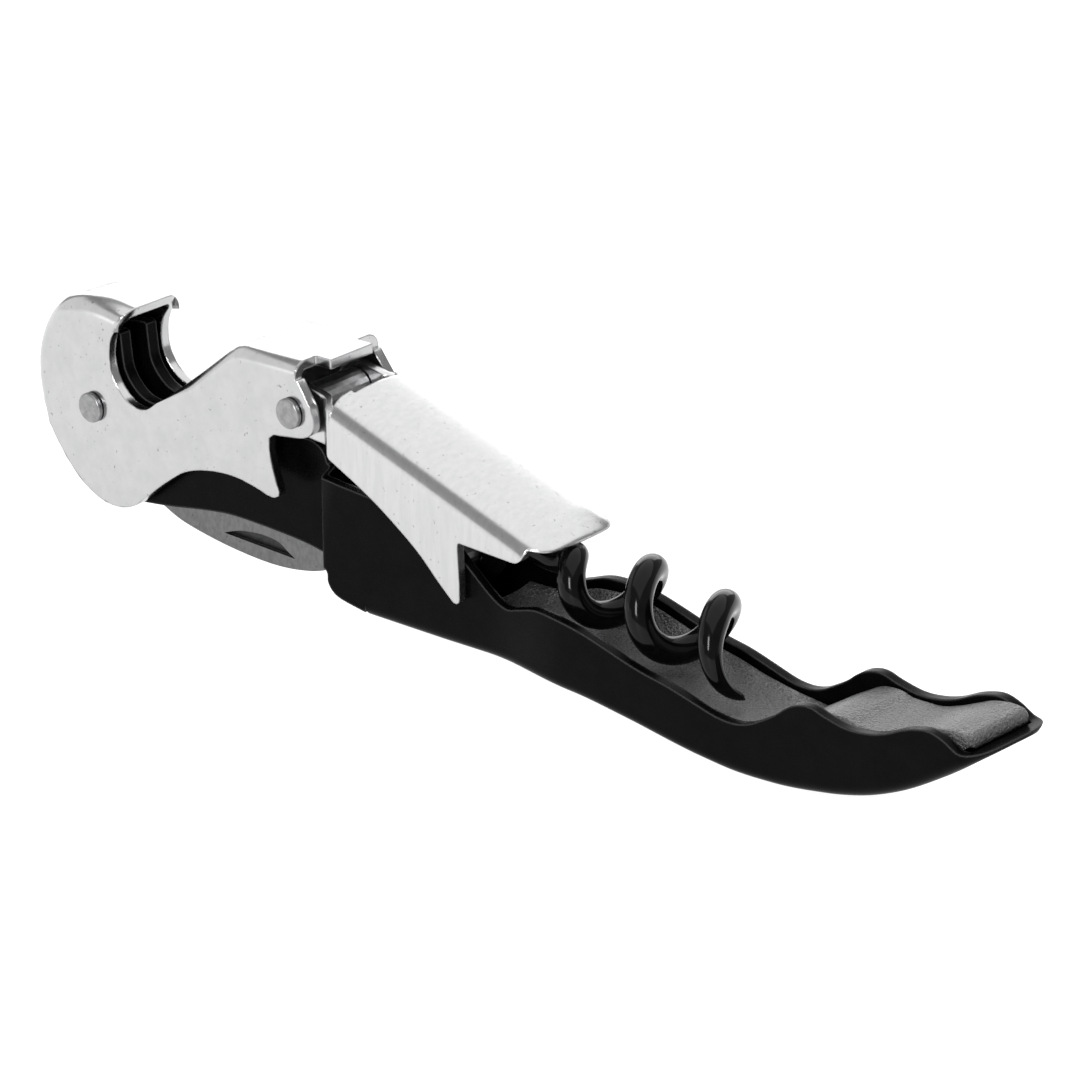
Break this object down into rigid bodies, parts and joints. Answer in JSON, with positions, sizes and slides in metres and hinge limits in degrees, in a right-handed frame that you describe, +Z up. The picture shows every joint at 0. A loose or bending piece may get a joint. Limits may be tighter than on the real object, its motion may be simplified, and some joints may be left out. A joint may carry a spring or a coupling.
{
  "type": "lever corkscrew",
  "caption": "Folding pocket corkscrew with a two-stage hinged lever, bottle-opener hook, coated worm and foil knife in a wavy black channel handle.",
  "frame": {"origin": "centre of the bounding box's underside, on the surface that the folded corkscrew lies on", "axes": "+X from the bottle-opener hook towards the handle's tail, +Y across, +Z up to the lever side"},
  "size_m": [0.1216, 0.0128, 0.0253],
  "materials": {
    "black_coat": "satin",
    "grained_black": "fine grained",
    "polished_chrome": "polished",
    "satin_chrome": "satin, brushed across",
    "rivet_steel": "satin",
    "blade_steel": "dull satin",
    "worm_coat": "gloss, non-stick coated",
    "nylon": "matte"
  },
  "bodies": {
    "handle": {"handle_shell": "black_coat", "handle_insert": "grained_black", "lever_rivet": "rivet_steel", "lever_washer_left": "nylon", "lever_washer_right": "nylon", "knife_pin": "rivet_steel", "knife_washer_left": "nylon", "knife_washer_right": "nylon", "worm_pin": "rivet_steel", "worm_spacer_left": "rivet_steel", "worm_spacer_right": "rivet_steel", "spring_pin_front": "rivet_steel", "spring_pin_rear": "rivet_steel", "back_spring": "rivet_steel"},
    "first_lever": {"first_lever": "polished_chrome", "joint_rivet": "rivet_steel", "joint_spacer": "rivet_steel"},
    "second_lever": {"second_lever": "satin_chrome"},
    "worm": {"worm": "worm_coat"},
    "knife": {"knife_blade": "blade_steel"}
  },
  "joints": [
    {"name": "lever_swing", "type": "hinge", "parent": "handle", "child": "first_lever", "pos_m": [-0.05185, 0, 0.0121], "axis": [0, -1, 0], "range_deg": [0, 90]},
    {"name": "second_lever_fold", "type": "hinge", "parent": "first_lever", "child": "second_lever", "pos_m": [-0.02275, 0, 0.02005], "axis": [0, -1, 0], "range_deg": [0, 50]},
    {"name": "worm_swing", "type": "hinge", "parent": "handle", "child": "worm", "pos_m": [-0.00425, 0, 0.0102], "axis": [0, -1, 0], "range_deg": [0, 90]},
    {"name": "knife_swing", "type": "hinge", "parent": "handle", "child": "knife", "pos_m": [-0.04665, 0, 0.0059], "axis": [0, 1, 0], "range_deg": [0, 95]}
  ],
  "couplings": [
    {"joint": "worm_swing", "follows": "lever_swing", "ratio": 0.95}
  ]
}
